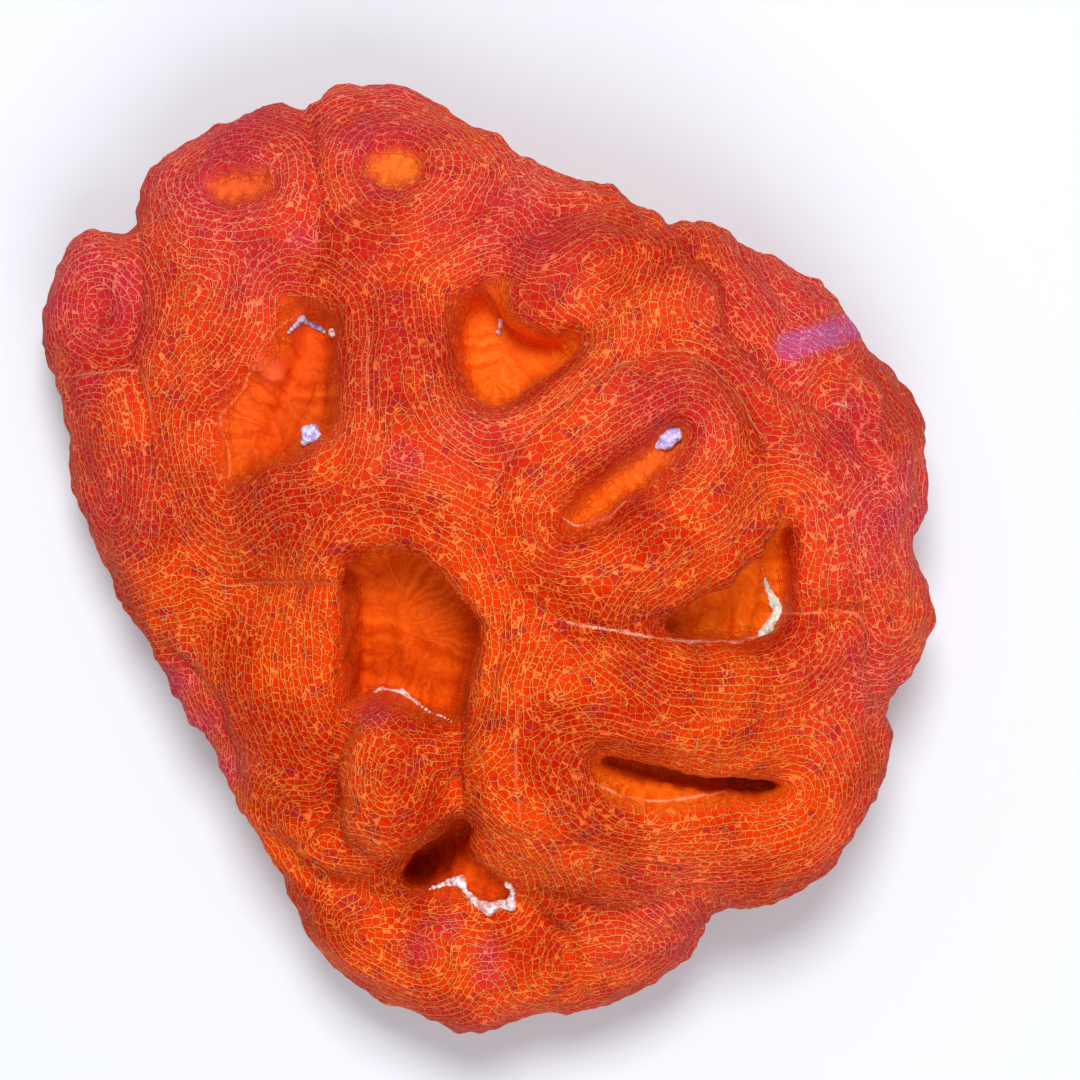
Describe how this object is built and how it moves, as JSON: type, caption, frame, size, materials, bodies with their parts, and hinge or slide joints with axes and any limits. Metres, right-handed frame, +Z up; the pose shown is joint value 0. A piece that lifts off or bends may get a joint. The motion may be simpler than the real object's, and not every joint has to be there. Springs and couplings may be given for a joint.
{
  "type": "acan coral colony",
  "caption": "Low fleshy orange-red coral colony: thick folded rolls of flesh around sunken oral discs, cut off flat underneath so that it rests as a reef or aquarium prop.",
  "frame": {"origin": "middle of the colony's bounding box in plan, on the flat cut underneath", "axes": "+Z up out of the cut, +Y towards the top of the picture, +X towards its right"},
  "size_m": [0.0612, 0.0654, 0.0245],
  "materials": {
    "coral_flesh": "wet soft flesh over a stony skeleton, orange-red"
  },
  "bodies": {
    "root": {"coral_colony": "coral_flesh"}
  },
  "joints": []
}
